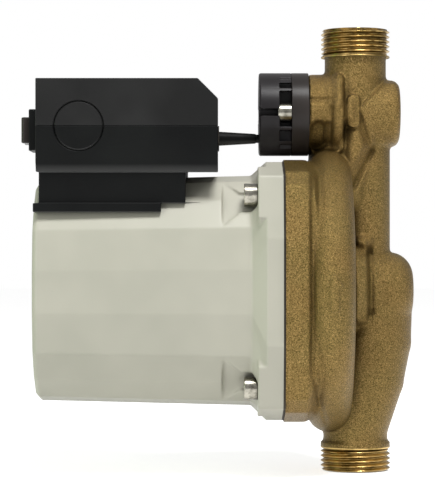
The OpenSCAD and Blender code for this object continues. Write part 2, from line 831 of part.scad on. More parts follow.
function box_outline(inset) = let (w = box_w / 2 - inset, z0 = box_z0 + inset, z1 = box_z1 - inset) [
    [w - bevel, z0], [w, z0 + bevel], [w, z1], [-w, z1], [-w, z0 + bevel], [-(w - bevel), z0]];

module box_form(inset) difference() {
    plate_x(box_x0 + inset, box_x1 - inset) polygon(box_outline(inset));
    plate_y(-box_w, box_w) polygon([
        [box_x1 - inset - lid_corner_cut, box_z1 - inset + cut],
        [box_x1 - inset - lid_corner_cut, box_z1 - inset],
        [box_x1 - inset, box_z1 - inset - lid_corner_cut],
        [box_x1 - inset + cut, box_z1 - inset - lid_corner_cut],
        [box_x1 - inset + cut, box_z1 - inset + cut]]);
}

module front_skirt() plate_x(box_x0, box_x1) polygon([
    [-box_w / 2, box_z0 + bevel], [skirt_slant - box_w / 2, box_z0 - skirt_h],
    [skirt_slant + skirt_t - box_w / 2, box_z0 - skirt_h], [skirt_slant + skirt_t - box_w / 2, box_z0 + bevel]]);

module below_split(z) translate([box_x0 - box_l, -box_w, z - box_h]) cube([3 * box_l, 2 * box_w, box_h]);

module above_split(z) translate([box_x0 - box_l, -box_w, z]) cube([3 * box_l, 2 * box_w, box_h]);

function base_screw_places() = [neck_x0 + base_screw_in, neck_x1 - base_screw_in];

module at_lid_screws() for (x = [box_x0 + pillar_in, box_x1 - pillar_in - lid_corner_cut], s = [-1, 1])
    translate([x, s * (box_w / 2 - pillar_in), 0]) children();

module wall_holes() {
    block_x(box_x0 - cut, box_x0 + box_wall + cut, frame_body_w + 2 * saddle_gap,
        split_z - frame_body_h / 2 - saddle_gap, split_z + frame_body_h / 2 + saddle_gap);
    translate([0, 0, lead_z]) along_x(box_x1 - box_wall - cut, box_x1 + cut, grommet_r + seat_gap);
    translate([gland_x, 0, split_z]) along_y(box_w / 2 - box_wall - cut, box_w / 2 + cut, gland_thread_r + seat_gap);
    translate([knockout_x, 0, split_z]) plate_y(-box_w / 2 - cut, -box_w / 2 + knockout_depth) difference() {
        circle(r = knockout_r);
        circle(r = knockout_r - knockout_w);
    }
}

module gasket_ring(w, z0, z1) translate([0, 0, z0]) linear_extrude(height = z1 - z0) difference() {
    translate([box_x0 + lid_gasket_in, -box_w / 2 + lid_gasket_in])
        square([box_l - 2 * lid_gasket_in, box_w - 2 * lid_gasket_in]);
    translate([box_x0 + lid_gasket_in + w, -box_w / 2 + lid_gasket_in + w])
        square([box_l - 2 * lid_gasket_in - 2 * w, box_w - 2 * lid_gasket_in - 2 * w]);
}

module terminal_base() color("#26262a") difference() {
    union() {
        difference() {
            intersection() {
                box_form(0);
                below_split(split_z);
            }
            box_form(box_wall);
        }
        intersection() {
            at_lid_screws() translate([0, 0, box_z0]) cylinder(h = base_h, r = pillar_r);
            box_form(0);
        }
        difference() {
            block_x(neck_x0, neck_x1, neck_w, foot_z + foot_t, box_z0);
            block_x(neck_x0 + neck_wall, neck_x1 - neck_wall, neck_w - 2 * neck_wall, foot_z, box_z0 - neck_wall);
        }
        block_x(foot_x0, foot_x1, foot_w, foot_z, foot_z + foot_t);
        front_skirt();
        for (x = base_screw_places()) translate([x, 0, box_z0 - neck_wall])
            cylinder(h = neck_wall, r = base_screw_boss_r);
    }
    at_motor() casing_form(saddle_gap);
    wall_holes();
    gasket_ring(lid_gasket_w + 2 * seat_gap, split_z - lid_gasket_t, split_z + cut);
    at_lid_screws() translate([0, 0, box_z1 - lid_well_depth - lid_screw_l])
        cylinder(h = lid_screw_l, r = lid_screw_r + seat_gap);
    for (x = base_screw_places()) translate([x, 0, box_z0 - box_wall - cut])
        cylinder(h = 2 * (box_wall + cut), r = base_screw_r + screw_gap);
    for (y = lead_wire_places()) translate([lead_wire_x, y, box_z0 - box_wall - cut])
        cylinder(h = 2 * (box_wall + cut), r = wire_hole_r);
}

module terminal_lid() color("#1d1d20") difference() {
    union() {
        difference() {
            intersection() {
                box_form(0);
                above_split(split_z);
            }
            box_form(box_wall);
        }
        at_lid_screws() translate([0, 0, split_z]) cylinder(h = box_h - base_h - seat_gap, r = pillar_r);
    }
    wall_holes();
    at_lid_screws() {
        translate([0, 0, split_z - cut]) cylinder(h = box_h, r = lid_screw_r + screw_gap);
        translate([0, 0, box_z1 - lid_well_depth]) cylinder(h = lid_well_depth + cut, r = lid_head_r + screw_gap);
    }
}

module lid_gasket() color("black") difference() {
    gasket_ring(lid_gasket_w, split_z - lid_gasket_t + seat_gap, split_z - seat_gap);
    wall_holes();
    at_lid_screws() translate([0, 0, split_z - base_h]) cylinder(h = base_h, r = pillar_r);
}

module lid_screws() color("silver") at_lid_screws() translate([0, 0, box_z1 - lid_well_depth]) difference() {
    union() {
        cylinder(h = lid_head_t, r = lid_head_r);
        translate([0, 0, -lid_screw_l]) cylinder(h = lid_screw_l + seat_gap, r = lid_screw_r);
    }
    for (a = [0, 90]) rotate(a) translate([-lid_screw_r, -lid_cross_w / 2, lid_head_t / 2])
        cube([2 * lid_screw_r, lid_cross_w, lid_head_t]);
}

module base_screws() color("silver") for (x = base_screw_places()) translate([x, 0, box_z0 + box_wall]) {
    difference() {
        cylinder(h = base_head_t, r = base_head_r);
        translate([-base_head_r - cut, -driver_slot_w / 2, base_head_t / 2])
            cube([2 * (base_head_r + cut), driver_slot_w, base_head_t]);
    }
    translate([0, 0, -base_screw_l + seat_gap]) cylinder(h = base_screw_l, r = base_screw_r);
}

function pole_places() = [for (i = [0:pole_count - 1]) (i - (pole_count - 1) / 2) * pole_pitch];

module terminal_block() color("whitesmoke") difference() {
    block_x(block_x, block_x + block_l, block_w, box_z0 + box_wall, box_z0 + box_wall + block_h);
    for (y = pole_places()) translate([0, y, 0]) {
        translate([0, 0, lead_wire_z]) along_x(block_x + block_l / 2, block_x + block_l + cut, entry_r);
        translate([block_x + block_l / 2, 0, lead_wire_z])
            cylinder(h = block_h, r = terminal_screw_r + seat_gap);
    }
}

module terminal_screws() color("gold") for (y = pole_places())
    translate([block_x + block_l / 2, y, lead_wire_z + entry_r]) difference() {
        cylinder(h = terminal_screw_l - entry_r, r = terminal_screw_r);
        translate([-terminal_screw_r - cut, -lid_cross_w / 2, terminal_screw_l / 2])
            cube([2 * (terminal_screw_r + cut), lid_cross_w, terminal_screw_l]);
    }

capacitor_z = box_z0 + box_wall + capacitor_r + capacitor_gap;
capacitor_x = box_x0 + pillar_in + pillar_r + capacitor_end;

module capacitor() color("gainsboro") translate([0, capacitor_y, capacitor_z]) {
    along_x(capacitor_x, capacitor_x + capacitor_l, capacitor_r);
    for (s = [-1, 1]) translate([0, s * capacitor_r / 3, 0])
        along_x(capacitor_x + capacitor_l, capacitor_x + capacitor_l + capacitor_pin_l, capacitor_pin_r);
}

frame_x0 = box_x0 - frame_t;

module rocker_frame() color("#141416") translate([0, 0, split_z]) difference() {
    union() {
        block_x(frame_x0, box_x0, frame_w, -frame_h / 2, frame_h / 2);
        block_x(box_x0, box_x0 + frame_body_l, frame_body_w, -frame_body_h / 2, frame_body_h / 2);
    }
    block_x(frame_x0 - cut, frame_x0 + frame_well, rocker_w + 2 * free_gap + 2 * rocker_gap,
        -rocker_h / 2 - rocker_gap, rocker_h / 2 + rocker_gap);
    translate([rocker_pivot_x, 0, -rocker_h / 2 - trunnion_l])
        cylinder(h = rocker_h + 2 * trunnion_l, r = trunnion_r + running_gap);
}

module rocker() color("#0c0c0e") translate([0, 0, split_z]) {
    x0 = frame_x0 - rocker_out;
    translate([0, 0, -rocker_h / 2]) linear_extrude(height = rocker_h) polygon([
        [x0, -rocker_w / 2 + rocker_crown], [x0 + rocker_crown, -rocker_w / 6], [x0 + rocker_crown, rocker_w / 6],
        [x0, rocker_w / 2 - rocker_crown], [x0 + rocker_crown, rocker_w / 2],
        [frame_x0 + rocker_crown, rocker_w / 2 - rocker_gap], [rocker_pivot_x + trunnion_r, trunnion_r * 2],
        [rocker_pivot_x + trunnion_r, -trunnion_r * 2], [frame_x0 + rocker_crown, -rocker_w / 2 + rocker_gap],
        [x0 + rocker_crown, -rocker_w / 2]]);
    translate([rocker_pivot_x, 0, -rocker_h / 2 - trunnion_l + saddle_gap])
        cylinder(h = rocker_h + 2 * trunnion_l - 2 * saddle_gap, r = trunnion_r);
}

module gland_body() color("#1a1a1c") translate([gland_x, 0, split_z]) difference() {
    union() {
        along_y(box_w / 2 - gland_body_l, box_w / 2, gland_thread_r);
        translate([0, box_w / 2, 0]) rotate([-90, 0, 0]) cylinder(h = gland_hex_t, r = gland_hex_r, $fn = 6);
        along_y(box_w / 2 + gland_hex_t, box_w / 2 + gland_hex_t + gland_dome_l / 2, gland_thread_r);
    }
    along_y(box_w / 2 - gland_body_l - cut, box_w / 2 + gland_hex_t + gland_dome_l, gland_seal_r + seat_gap);
}

gland_seal_y = box_w / 2 + gland_hex_t + gland_dome_l - gland_dome_cone / 2 - gland_seal_l;

module gland_seal() color("#303034") translate([gland_x, 0, split_z]) difference() {
    along_y(gland_seal_y, gland_seal_y + gland_seal_l, gland_seal_r);
    along_y(gland_seal_y - cut, gland_seal_y + gland_seal_l + cut, gland_cable_r);
}

module gland_nut() color("#1a1a1c") translate([gland_x, 0, split_z]) difference() {
    translate([0, box_w / 2 + gland_hex_t + seat_gap, 0]) rotate([-90, 0, 0]) {
        cylinder(h = gland_dome_l - gland_dome_cone, r = gland_dome_r);
        translate([0, 0, gland_dome_l - gland_dome_cone])
            cylinder(h = gland_dome_cone, r1 = gland_dome_r, r2 = gland_seal_r + gland_rim);
    }
    along_y(box_w / 2, box_w / 2 + gland_hex_t + gland_dome_l / 2 + 2 * seat_gap, gland_thread_r + seat_gap);
    along_y(box_w / 2, gland_seal_y + gland_seal_l + seat_gap, gland_seal_r + seat_gap);
    along_y(box_w / 2, box_w / 2 + gland_hex_t + gland_dome_l + cut, gland_mouth_r);
}

module at_switch() translate([0, 0, switch_axis_z]) children();

module at_switch_screws() at_switch() for (s = [-1, 1]) translate([0, s * switch_screw_y, 0]) children();

module flow_switch_base() color("#17171a") difference() {
    at_switch() along_x(switch_base_x, switch_boss_x, switch_r);
    at_switch() block_x(switch_base_x - cut, switch_base_x + reed_pocket_l, reed_pocket_w,
        -reed_pocket_h / 2, reed_pocket_h / 2);
    at_switch_screws() along_x(switch_base_x - cut, switch_boss_x + cut, switch_screw_r + screw_gap);
}

module flow_switch_cover() color("#111114") difference() {
    at_switch() mirror([1, 0, 0]) round_end_x(-switch_base_x, -switch_cover_x, switch_r, cap_round);
    at_switch() for (s = [-1, 1]) difference() {
        translate([switch_base_x - window_l, s * (window_in + switch_r) - switch_r, -switch_r - cut])
            cube([window_l + cut, 2 * switch_r, 2 * (switch_r + cut)]);
        for (f = fin_share) translate([switch_base_x - window_l, -switch_r, f * switch_r - fin_t / 2])
            cube([window_l, 2 * switch_r, fin_t]);
    }
    at_switch() block_x(switch_base_x - window_l, switch_base_x + cut, reed_pocket_w,
        -reed_pocket_h / 2, reed_pocket_h / 2);
    at_switch_screws() along_x(switch_cover_x - cut, switch_base_x + cut, switch_head_r + screw_gap);
    translate([0, 0, lead_z]) along_x(switch_cover_x - cut, switch_cover_x + 2 * cap_wall, lead_neck_r + seat_gap);
}

module flow_switch_screws() color("silver") at_switch_screws() difference() {
    union() {
        along_x(switch_base_x - switch_head_l, switch_base_x, switch_head_r);
        along_x(switch_base_x - seat_gap, switch_base_x + switch_screw_l - tip_gap, switch_screw_r);
    }
    for (a = [0, 90]) rotate([a, 0, 0])
        translate([switch_base_x - switch_head_l - cut, -cross_recess_w / 2, -driver_slot_w / 2])
            cube([cut + cross_recess_l, cross_recess_w, driver_slot_w]);
}

module reed_switch() color("seagreen") at_switch() translate([0, 0, -reed_l / 2]) {
    x = switch_base_x + reed_pocket_l - reed_r - seat_gap;
    translate([x, 0, 0]) cylinder(h = reed_l, r = reed_r);
    for (z = [0, reed_l]) translate([x, 0, z]) sphere(r = reed_r);
}

module flow_switch_lead() color("#0d0d0f") translate([0, 0, lead_z]) {
    cone_x(box_x1 - box_wall, switch_cover_x - lead_neck_l, lead_box_r, lead_switch_r);
    along_x(switch_cover_x - lead_neck_l - seat_gap, switch_cover_x + lead_run_in, lead_neck_r);
}

module lead_grommet() color("#202024") translate([0, 0, lead_z]) difference() {
    union() {
        along_x(box_x1 - box_wall, box_x1 + seat_gap, grommet_r);
        along_x(box_x1 + seat_gap, box_x1 + seat_gap + grommet_lip_t, grommet_lip_r);
    }
    along_x(box_x1 - box_wall - cut, box_x1 + grommet_lip_t + cut, lead_box_r + seat_gap);
}

pump_housing();
wear_ring();
housing_gasket();
bearing_plate();
front_bearing();
rotor_can();
rear_bearing();
stator_core();
stator_windings();
motor_casing();
casing_screws();
vent_screw();
vent_seal();
motor_leads();
rotor_shaft();
rotor_core();
thrust_washer();
impeller();
impeller_nut();
bypass_seat();
bypass_guide();
bypass_poppet();
flow_shuttle();
shuttle_magnet();
terminal_base();
terminal_lid();
lid_gasket();
lid_screws();
base_screws();
terminal_block();
terminal_screws();
capacitor();
rocker_frame();
rocker();
gland_body();
gland_seal();
gland_nut();
flow_switch_base();
flow_switch_cover();
flow_switch_screws();
reed_switch();
flow_switch_lead();
lead_grommet();
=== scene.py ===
import json
import math

import bmesh
import bpy
import numpy as np
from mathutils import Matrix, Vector


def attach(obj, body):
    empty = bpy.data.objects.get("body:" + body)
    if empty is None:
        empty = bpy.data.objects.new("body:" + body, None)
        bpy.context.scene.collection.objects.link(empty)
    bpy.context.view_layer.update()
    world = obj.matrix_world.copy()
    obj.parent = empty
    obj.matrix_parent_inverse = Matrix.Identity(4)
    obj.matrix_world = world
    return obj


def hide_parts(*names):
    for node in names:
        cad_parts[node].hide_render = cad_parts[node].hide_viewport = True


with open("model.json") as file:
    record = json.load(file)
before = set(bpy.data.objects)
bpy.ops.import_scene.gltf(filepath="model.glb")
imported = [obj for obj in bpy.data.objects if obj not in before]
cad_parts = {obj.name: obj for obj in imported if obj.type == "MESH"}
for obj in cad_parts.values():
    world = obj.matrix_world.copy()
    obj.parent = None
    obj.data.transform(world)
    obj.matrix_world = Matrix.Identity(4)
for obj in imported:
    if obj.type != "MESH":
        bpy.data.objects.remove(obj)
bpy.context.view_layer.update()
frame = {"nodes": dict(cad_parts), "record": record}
mm = 0.001
axisZ = 68.4  # height of the motor's axis over the inlet face, mm
portSpan = 167.4  # from port face to port face, mm


def feed(tree, socket, value):
    if isinstance(value, (int, float)):
        socket.default_value = value
    elif isinstance(value, tuple):
        socket.default_value = (*value, 1)
    else:
        tree.links.new(value, socket)


def newGroup(name, inputs, outputs):
    group = bpy.data.node_groups.new(name, "ShaderNodeTree")
    for way, labels in (("INPUT", inputs), ("OUTPUT", outputs)):
        for label in labels:
            group.interface.new_socket(label, in_out=way, socket_type="NodeSocketFloat")
    return group, group.nodes.new("NodeGroupInput"), group.nodes.new("NodeGroupOutput")


def useGroup(tree, group, **values):
    node = tree.nodes.new("ShaderNodeGroup")
    node.node_tree = group
    for label, value in values.items():
        node.inputs[label].default_value = value
    return node


def math2(tree, operation, a, b, clamp=False):
    node = tree.nodes.new("ShaderNodeMath")
    node.operation = operation
    node.use_clamp = clamp
    for socket, value in zip(node.inputs, (a, b)):
        feed(tree, socket, value)
    return node.outputs[0]


def remap(tree, value, fromSpan=(0, 1), toSpan=(0, 1)):
    node = tree.nodes.new("ShaderNodeMapRange")
    labels = ("Value", "From Min", "From Max", "To Min", "To Max")
    for label, given in zip(labels, (value, *fromSpan, *toSpan)):
        feed(tree, node.inputs[label], given)
    return node.outputs["Result"]


def ramp(tree, value, stops):
    node = tree.nodes.new("ShaderNodeValToRGB")
    elements = node.color_ramp.elements
    for element, (place, colour) in zip(elements, stops):
        element.position = place
        element.color = (*colour, 1)
    tree.links.new(value, node.inputs["Fac"])
    return node.outputs["Color"]


def mixColour(tree, factor, a, b):
    node = tree.nodes.new("ShaderNodeMix")
    node.data_type = "RGBA"
    for label, value in (("Factor", factor), ("A", a), ("B", b)):
        socket = next(s for s in node.inputs if s.name == label and s.enabled)
        feed(tree, socket, value)
    return next(s for s in node.outputs if s.enabled)


def noise(tree, vector, scale, detail=3.0, roughness=0.55):
    node = tree.nodes.new("ShaderNodeTexNoise")
    node.inputs["Detail"].default_value = detail
    node.inputs["Roughness"].default_value = roughness
    feed(tree, node.inputs["Scale"], scale)
    tree.links.new(vector, node.inputs["Vector"])
    return node.outputs["Fac"]


def startMaterial(name):
    material = bpy.data.materials.new(name)
    material.use_nodes = True
    tree = material.node_tree
    return material, tree, tree.nodes["Principled BSDF"]


def bumpFrom(tree, shader, height, distance):
    bump = tree.nodes.new("ShaderNodeBump")
    bump.inputs["Distance"].default_value = distance
    tree.links.new(height, bump.inputs["Height"])
    tree.links.new(bump.outputs["Normal"], shader.inputs["Normal"])


def objectPlace(tree):
    return tree.nodes.new("ShaderNodeTexCoord").outputs["Object"]


# The camera, lamps, room and floor, in metres
studio = {
    "cameraDistance": 0.85,
    "viewHeight": 0.1906,  # height of the port plane that the picture shows
    "aimX": -0.0525,
    "aimZ": 0.0837,
    "nearClip": 0.01,
    "ambient": 0.27,  # the room's light on the object
    "reflected": 0.45,  # the room in the object's shine
    "floorHalf": 4.0,
    "floorDrop": 0.0002,
    "floorColour": (0.9, 0.9, 0.9, 1),
    "floorRoughness": 0.9,
    "floorShine": 0.1,
    "floorGlow": 0.72,  # lifts the lit floor to white where it is seen and leaves the shadow
}
lamps = [
    {
        "name": "keyLamp",
        "place": (0.14, -0.46, 1.05),
        "aim": (-0.03, -0.02, 0.08),
        "size": (0.36, 0.36),
        "power": 10.5,
    },
    {
        "name": "sideLamp",
        "place": (-0.8, -0.95, 0.35),
        "aim": (-0.04, 0, 0.08),
        "size": (0.4, 0.5),
        "power": 3.0,
    },
    {
        "name": "greenLamp",  # the green reflection on the left of the bronze
        "place": (-0.75, -0.13, 0.09),
        "aim": (0, -0.05, 0.09),
        "size": (0.2, 0.5),
        "power": 0.6,
        "colour": (0.4, 1.0, 0.2),
    },
]


def buildCamera():
    data = bpy.data.cameras.new("photoCamera")
    data.sensor_fit = "VERTICAL"
    data.angle = 2 * math.atan(studio["viewHeight"] / 2 / studio["cameraDistance"])
    data.clip_start = studio["nearClip"]
    camera = bpy.data.objects.new("photoCamera", data)
    camera.location = (studio["aimX"], -studio["cameraDistance"], studio["aimZ"])
    camera.rotation_euler = (math.radians(90), 0, 0)
    bpy.context.scene.collection.objects.link(camera)
    bpy.context.scene.camera = camera


def softLamp(name, place, aim, size, power, colour=(1, 1, 1)):
    data = bpy.data.lights.new(name, "AREA")
    data.shape = "RECTANGLE"
    data.size, data.size_y = size
    data.energy = power
    data.color = colour
    lamp = bpy.data.objects.new(name, data)
    lamp.location = place
    lamp.rotation_euler = (Vector(aim) - Vector(place)).to_track_quat("-Z", "Y").to_euler()
    bpy.context.scene.collection.objects.link(lamp)


def seenOrReflected(tree):
    path = tree.nodes.new("ShaderNodeLightPath")
    return math2(tree, "MAXIMUM", path.outputs["Is Camera Ray"], path.outputs["Is Glossy Ray"])


def buildWorld():
    world = bpy.data.worlds.new("softRoom")
    world.use_nodes = True
    tree = world.node_tree
    background = tree.nodes["Background"]
    background.inputs["Color"].default_value = (1, 1, 1, 1)
    path = tree.nodes.new("ShaderNodeLightPath")
    span = (studio["ambient"], studio["reflected"])
    unseen = remap(tree, path.outputs["Is Glossy Ray"], toSpan=span)
    strength = remap(tree, path.outputs["Is Camera Ray"], toSpan=(unseen, 1.0))
    tree.links.new(strength, background.inputs["Strength"])
    bpy.context.scene.world = world


def buildFloor():
    half = studio["floorHalf"]
    mesh = bpy.data.meshes.new("floor")
    corners = [(-half, -half, 0), (half, -half, 0), (half, half, 0), (-half, half, 0)]
    mesh.from_pydata(corners, [], [(0, 1, 2, 3)])
    floor = bpy.data.objects.new("floor", mesh)
    floor.location = (0, 0, -studio["floorDrop"])
    bpy.context.scene.collection.objects.link(floor)
    material, tree, shader = startMaterial("paleFloor")
    shader.inputs["Base Color"].default_value = studio["floorColour"]
    shader.inputs["Roughness"].default_value = studio["floorRoughness"]
    shader.inputs["Specular IOR Level"].default_value = studio["floorShine"]
    shader.inputs["Emission Color"].default_value = (1, 1, 1, 1)
    glow = math2(tree, "MULTIPLY", seenOrReflected(tree), studio["floorGlow"])
    tree.links.new(glow, shader.inputs["Emission Strength"])
    mesh.materials.append(material)


buildCamera()
buildWorld()
buildFloor()
for lamp in lamps:
    softLamp(**lamp)
bpy.context.scene.view_settings.view_transform = "Standard"
print("studio ready")


def linkNew(name, bm):
    mesh = bpy.data.meshes.new(name)
    bm.to_mesh(mesh)
    bm.free()
    made = bpy.data.objects.new(name, mesh)
    bpy.context.scene.collection.objects.link(made)
    return made


def applyModifiers(obj):
    bpy.context.view_layer.update()
    graph = bpy.context.evaluated_depsgraph_get()
    mesh = bpy.data.meshes.new_from_object(obj.evaluated_get(graph))
    old = obj.data
    obj.modifiers.clear()
    obj.data = mesh
    mesh.name = obj.name
    bpy.data.meshes.remove(old)
    return obj


def shadeByAngle(bm, degrees=50):
    for face in bm.faces:
        face.smooth = True
    for edge in bm.edges:
        edge.smooth = len(edge.link_faces) == 2 and edge.calc_face_angle(0) < math.radians(degrees)


def relax(obj, passes):
    smooth = obj.modifiers.new("relax", "SMOOTH")
    smooth.factor = 0.5
    smooth.iterations = passes
    return applyModifiers(obj)


def voxelForm(obj, size):
    remesh = obj.modifiers.new("cells", "REMESH")
    remesh.mode = "VOXEL"
    remesh.voxel_size = size * mm
    remesh.use_smooth_shade = True
    return applyModifiers(obj)


# A cut is a point on its plane in mm, the way that is cleared, and whether it is closed
def cutAway(obj, cuts):
    bm = bmesh.new()
    bm.from_mesh(obj.data)
    for spot, way, closed in cuts:
        geometry = bm.verts[:] + bm.edges[:] + bm.faces[:]
        made = bmesh.ops.bisect_plane(
            bm, geom=geometry, plane_co=Vector(spot) * mm, plane_no=way, clear_outer=True
        )
        if closed:
            rim = [e for e in made["geom_cut"] if isinstance(e, bmesh.types.BMEdge)]
            bmesh.ops.triangle_fill(bm, use_beauty=True, use_dissolve=False, edges=rim, normal=way)
    shadeByAngle(bm)
    bm.to_mesh(obj.data)
    bm.free()
    return obj


def paint(obj, material):
    obj.data.materials.clear()
    obj.data.materials.append(material)


def standIn(obj, slotName, material, *nodes, body="root"):
    paint(obj, material)
    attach(obj, body)
    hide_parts(*nodes)


# Shared surface effects: the cast grain, and painted shade that darkens corners, creases and recesses
grain = {
    "pitSpan": (0.015, 0.035),  # a pit's rim, as distances in cells
    "coarseShare": 0.6,
    "fineShare": 0.4,
    "pitDepth": 0.35,
}
paintedShadeSamples = 8


def buildGrainGroup():
    group, source, sink = newGroup(
        "castGrain", ["Coarse", "Fine", "Pits"], ["Height", "Mottle", "Pit"]
    )
    place = objectPlace(group)
    coarse = noise(group, place, source.outputs["Coarse"], detail=4.0, roughness=0.6)
    fine = noise(group, place, source.outputs["Fine"], detail=3.0, roughness=0.6)
    cells = group.nodes.new("ShaderNodeTexVoronoi")
    group.links.new(place, cells.inputs["Vector"])
    group.links.new(source.outputs["Pits"], cells.inputs["Scale"])
    pit = remap(group, cells.outputs["Distance"], fromSpan=grain["pitSpan"], toSpan=(1, 0))
    coarsePart = math2(group, "MULTIPLY", coarse, grain["coarseShare"])
    finePart = math2(group, "MULTIPLY", fine, grain["fineShare"])
    height = math2(group, "ADD", coarsePart, finePart)
    height = math2(group, "SUBTRACT", height, math2(group, "MULTIPLY", pit, grain["pitDepth"]))
    mottle = math2(group, "MULTIPLY", math2(group, "ADD", coarse, fine), 0.5)
    group.links.new(height, sink.inputs["Height"])
    group.links.new(mottle, sink.inputs["Mottle"])
    group.links.new(pit, sink.inputs["Pit"])
    return group


# Painted shade: ambient occlusion made into a mask that darkens the colour in corners, creases and
# recesses
def buildHollowGroup():
    group, source, sink = newGroup("paintedShading", ["Reach"], ["Hollow"])
    shade = group.nodes.new("ShaderNodeAmbientOcclusion")
    shade.samples = paintedShadeSamples
    group.links.new(source.outputs["Reach"], shade.inputs["Distance"])
    paintedShade = math2(group, "SUBTRACT", 1.0, shade.outputs["AO"], clamp=True)
    group.links.new(paintedShade, sink.inputs["Hollow"])
    return group


grainGroup = buildGrainGroup()
paintedShadeGroup = buildHollowGroup()


castBronze = {
    "light": (0.54, 0.355, 0.135),
    "body": (0.104, 0.066, 0.0155),
    "olive": (0.086, 0.064, 0.0145),
    # dark: the colour of the casting's pits, and of the painted shade in corners and recesses
    "dark": (0.05, 0.033, 0.010),
    "coarse": 2300.0,
    "fine": 5200.0,
    "pits": 55.0,
    "patches": 40.0,
    "patchSpan": (0.4, 0.62),
    "speckleSpan": (0.44, 0.68),
    # painted shade: how far it reaches and how it turns into the dark colour
    "paintedShadeReach": 0.006,
    "paintedShadeSpan": (0.12, 0.75),
    "roughness": (0.27, 0.46),
    "metallic": 0.78,
    "shine": 0.2,
    "bump": 0.5,  # mm
}


def castBronzeMaterial():
    material, tree, shader = startMaterial("castBronze")
    place = objectPlace(tree)
    sand = useGroup(
        tree, grainGroup, Coarse=castBronze["coarse"], Fine=castBronze["fine"], Pits=castBronze["pits"]
    )
    paintedShading = useGroup(tree, paintedShadeGroup, Reach=castBronze["paintedShadeReach"])
    low, high = castBronze["patchSpan"]
    patches = noise(tree, place, castBronze["patches"])
    colour = ramp(tree, patches, [(low, castBronze["olive"]), (high, castBronze["body"])])
    low, high = castBronze["speckleSpan"]
    speckle = ramp(tree, sand.outputs["Mottle"], [(low, (0, 0, 0)), (high, (1, 1, 1))])
    colour = mixColour(tree, speckle, colour, castBronze["light"])
    # Painted shade: corners and recesses darkened toward the dark colour
    low, high = castBronze["paintedShadeSpan"]
    paintedShade = ramp(tree, paintedShading.outputs["Hollow"], [(low, (0, 0, 0)), (high, (1, 1, 1))])
    colour = mixColour(tree, paintedShade, colour, castBronze["dark"])
    colour = mixColour(tree, sand.outputs["Pit"], colour, castBronze["dark"])
    tree.links.new(colour, shader.inputs["Base Color"])
    smoothest, roughest = castBronze["roughness"]
    rough = remap(tree, sand.outputs["Mottle"], toSpan=(roughest, smoothest))
    tree.links.new(rough, shader.inputs["Roughness"])
    shader.inputs["Metallic"].default_value = castBronze["metallic"]
    shader.inputs["Specular IOR Level"].default_value = castBronze["shine"]
    bumpFrom(tree, shader, sand.outputs["Height"], castBronze["bump"] * mm)
    return material


machinedBrass = {
    "bright": (0.66, 0.46, 0.175),
    "dull": (0.27, 0.185, 0.058),
    # colour of the painted shade in corners and recesses
    "paintedShade": castBronze["dark"],
    "paintedShadeReach": 0.0012,
    "stains": 160.0,
    "stainSpan": (0.35, 0.6),
    "turning": (60, 60, 4000),  # the lathe's fine rings
    "roughness": 0.3,
    "bump": 0.03,  # mm
}


def machinedBrassMaterial():
    material, tree, shader = startMaterial("machinedBrass")
    place = objectPlace(tree)
    paintedShading = useGroup(tree, paintedShadeGroup, Reach=machinedBrass["paintedShadeReach"])
    stretch = tree.nodes.new("ShaderNodeMapping")
    stretch.inputs["Scale"].default_value = machinedBrass["turning"]
    tree.links.new(place, stretch.inputs["Vector"])
    rings = noise(tree, stretch.outputs["Vector"], 1.0, detail=2.0)
    low, high = machinedBrass["stainSpan"]
    stains = noise(tree, place, machinedBrass["stains"])
    tone = ramp(tree, stains, [(low, machinedBrass["dull"]), (high, machinedBrass["bright"])])
    # painted shade in corners and recesses
    tone = mixColour(tree, paintedShading.outputs["Hollow"], tone, machinedBrass["paintedShade"])
    tree.links.new(tone, shader.inputs["Base Color"])
    shader.inputs["Metallic"].default_value = 1.0
    shader.inputs["Roughness"].default_value = machinedBrass["roughness"]
    bumpFrom(tree, shader, rings, machinedBrass["bump"] * mm)
    return material
